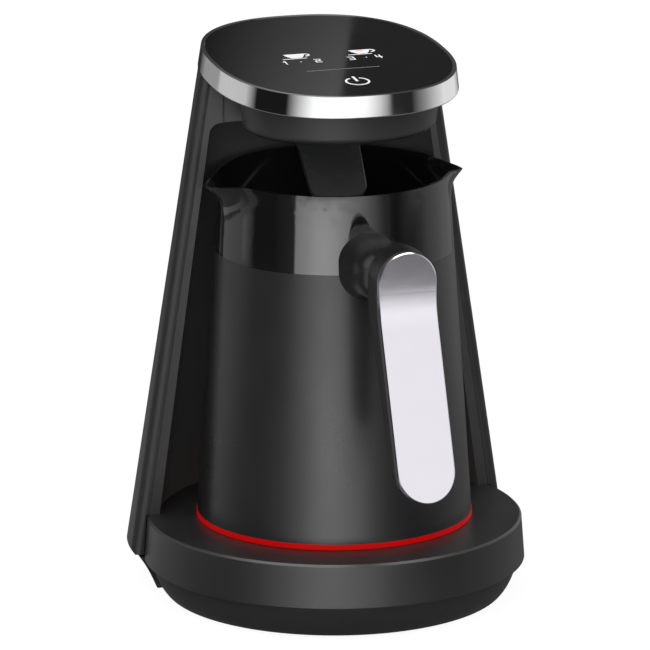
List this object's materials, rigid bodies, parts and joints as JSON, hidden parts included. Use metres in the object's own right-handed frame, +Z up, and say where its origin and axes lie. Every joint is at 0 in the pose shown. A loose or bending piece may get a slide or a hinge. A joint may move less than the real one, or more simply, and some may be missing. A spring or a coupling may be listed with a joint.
{
  "type": "electric turkish coffee maker",
  "caption": "Electric Turkish coffee maker: round base, column with a pot bay, overhanging touch-panel head, hinged sensor arm and a lift-off spouted pot with a silver handle.",
  "frame": {"origin": "centre of the bounding box on the table plane, under the feet", "axes": "+Z up; -Y is the front, where the pot's handle points; +X to the right seen from the front"},
  "size_m": [0.1676, 0.2108, 0.2372],
  "materials": {
    "housing_black": "satin moulded plastic",
    "pot_gloss": "gloss black enamel",
    "pot_satin": "satin charcoal coating",
    "chrome": "mirror polished",
    "panel_glass": "black tempered glass, opaque",
    "red_ring": "translucent red, lit from inside",
    "handle_black": "satin moulded plastic",
    "handle_silver": "fine satin",
    "rubber": "matte",
    "steel": "bright zinc",
    "contact_brass": "polished",
    "circuit_board": "lacquered",
    "component_dark": "moulded",
    "cable_grey": "smooth PVC",
    "heater_metal": "cast",
    "white_diffuser": "diffusing"
  },
  "bodies": {
    "stand": {"base_bowl": "housing_black", "rubber_feet": "rubber", "base_cover": "housing_black", "base_screws": "steel", "cord_gland": "rubber", "power_socket": "component_dark", "socket_contacts": "contact_brass", "power_board": "circuit_board", "power_relay": "component_dark", "transformer": "component_dark", "column_back_shell": "housing_black", "column_front_shell": "housing_black", "column_screws": "steel", "ribbon_cable": "cable_grey", "head_housing": "housing_black", "chrome_band": "chrome", "touch_panel": "panel_glass", "touch_board": "circuit_board", "key_leds": "white_diffuser", "buzzer": "component_dark", "arm_pin": "steel"},
    "pot": {"pot_vessel": "pot_gloss", "pot_sleeve": "pot_satin", "pot_ring": "red_ring", "pot_base": "component_dark", "pot_screws": "steel", "pot_connector": "component_dark", "pot_contacts": "contact_brass", "heater_plate": "heater_metal", "heater_element": "steel", "thermostat": "white_diffuser", "handle_core": "handle_black", "handle_plate": "handle_silver", "handle_screws": "steel"},
    "arm": {"sensor_arm": "handle_black", "sensor_window": "white_diffuser"}
  },
  "joints": [
    {"name": "pot_lift", "type": "slide", "parent": "stand", "child": "pot", "axis": [0, 0, 1], "range_m": [0, 0.014]},
    {"name": "arm_swing", "type": "hinge", "parent": "stand", "child": "arm", "pos_m": [0, 0.03455, 0.1998], "axis": [-1, 0, 0], "range_deg": [0, 50]}
  ]
}
